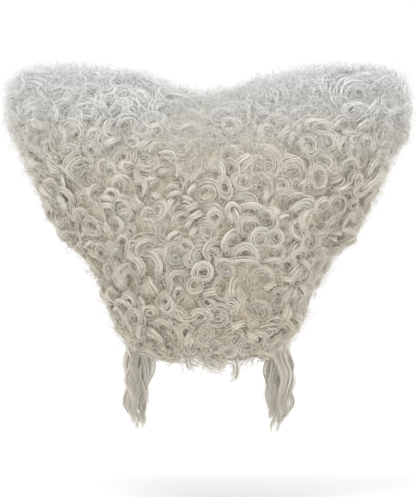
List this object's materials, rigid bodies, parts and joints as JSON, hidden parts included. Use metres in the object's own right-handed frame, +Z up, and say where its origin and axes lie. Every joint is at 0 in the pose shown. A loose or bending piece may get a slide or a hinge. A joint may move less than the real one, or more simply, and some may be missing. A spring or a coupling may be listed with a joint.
{
  "type": "costume wig",
  "caption": "Tall white curly costume wig with two swept-out wings, a fitted cap with nape adjusters and snap clips, and long locks at the front.",
  "frame": {"origin": "inside of the cap's crown, the highest point of the head that wears the wig", "axes": "+Z up; -Y the wearer's face; +X the wearer's left"},
  "size_m": [0.42, 0.2501, 0.3962],
  "materials": {
    "curly_hair": "matte curled synthetic fibre, ivory white",
    "long_hair": "soft-sheen wavy synthetic fibre, ivory white",
    "cap_net": "open knitted net",
    "binding": "folded woven tape",
    "elastic": "ribbed elastic",
    "track_tape": "stitched weft tape",
    "label": "blank satin tape",
    "loop_tape": "napped loop tape",
    "hook_tape": "moulded hook tape",
    "stay_metal": "brushed",
    "clip_metal": "satin",
    "foam": "open-cell foam under thin net",
    "hoop_wire": "drawn wire"
  },
  "bodies": {
    "wig": {"crown_net": "cap_net", "front_band": "binding", "nape_band": "binding", "back_elastic_strips": "elastic", "blank_label": "label", "ear_tab_left": "binding", "ear_tab_right": "binding", "ear_stay_left": "stay_metal", "ear_stay_right": "stay_metal", "weft_track_1": "track_tape", "weft_track_2": "track_tape", "weft_track_3": "track_tape", "weft_track_4": "track_tape", "weft_track_5": "track_tape", "weft_track_6": "track_tape", "tress_track_left": "track_tape", "tress_track_right": "track_tape", "loop_pad": "loop_tape", "strap_casing_left": "binding", "strap_casing_right": "binding", "front_clip_plate": "clip_metal", "side_clip_plate_left": "clip_metal", "side_clip_plate_right": "clip_metal", "wing_pad_left": "foam", "wing_pad_right": "foam", "wing_hoop_left": "hoop_wire", "wing_hoop_right": "hoop_wire", "crown_hair": "curly_hair", "front_hair": "curly_hair", "hair_row_1": "curly_hair", "hair_row_2": "curly_hair", "hair_row_3": "curly_hair", "hair_row_4": "curly_hair", "hair_row_5": "curly_hair", "wing_hair_left": "curly_hair", "wing_hair_right": "curly_hair", "wing_tip_hair_left": "curly_hair", "wing_tip_hair_right": "curly_hair"},
    "tress_left_body": {"tress_left": "long_hair"},
    "tress_right_body": {"tress_right": "long_hair"},
    "adjuster_left_body": {"adjuster_strap_left": "elastic", "hook_patch_left": "hook_tape"},
    "adjuster_right_body": {"adjuster_strap_right": "elastic", "hook_patch_right": "hook_tape"},
    "front_clip_body": {"front_clip_leaf": "clip_metal"},
    "side_clip_left_body": {"side_clip_leaf_left": "clip_metal"},
    "side_clip_right_body": {"side_clip_leaf_right": "clip_metal"}
  },
  "joints": [
    {"name": "tress_left_swing", "type": "hinge", "parent": "wig", "child": "tress_left_body", "pos_m": [0.071, -0.078, -0.09], "axis": [1, 0, 0], "range_deg": [-40, 8]},
    {"name": "tress_right_swing", "type": "hinge", "parent": "wig", "child": "tress_right_body", "pos_m": [-0.071, -0.078, -0.09], "axis": [1, 0, 0], "range_deg": [-40, 8]},
    {"name": "adjuster_left_slide", "type": "hinge", "parent": "wig", "child": "adjuster_left_body", "pos_m": [0, 0.022, -0.171], "axis": [0, 0, 1], "range_deg": [0, 18]},
    {"name": "adjuster_right_slide", "type": "hinge", "parent": "wig", "child": "adjuster_right_body", "pos_m": [0, 0.022, -0.171], "axis": [0, 0, -1], "range_deg": [0, 18]},
    {"name": "front_clip_snap", "type": "hinge", "parent": "wig", "child": "front_clip_body", "pos_m": [0, -0.07346, -0.039], "axis": [-1, 0, 0], "range_deg": [0, 38]},
    {"name": "side_clip_left_snap", "type": "hinge", "parent": "wig", "child": "side_clip_left_body", "pos_m": [0.07209, 0, -0.084], "axis": [0, -1, 0], "range_deg": [0, 38]},
    {"name": "side_clip_right_snap", "type": "hinge", "parent": "wig", "child": "side_clip_right_body", "pos_m": [-0.07209, 0, -0.084], "axis": [0, 1, 0], "range_deg": [0, 38]}
  ]
}
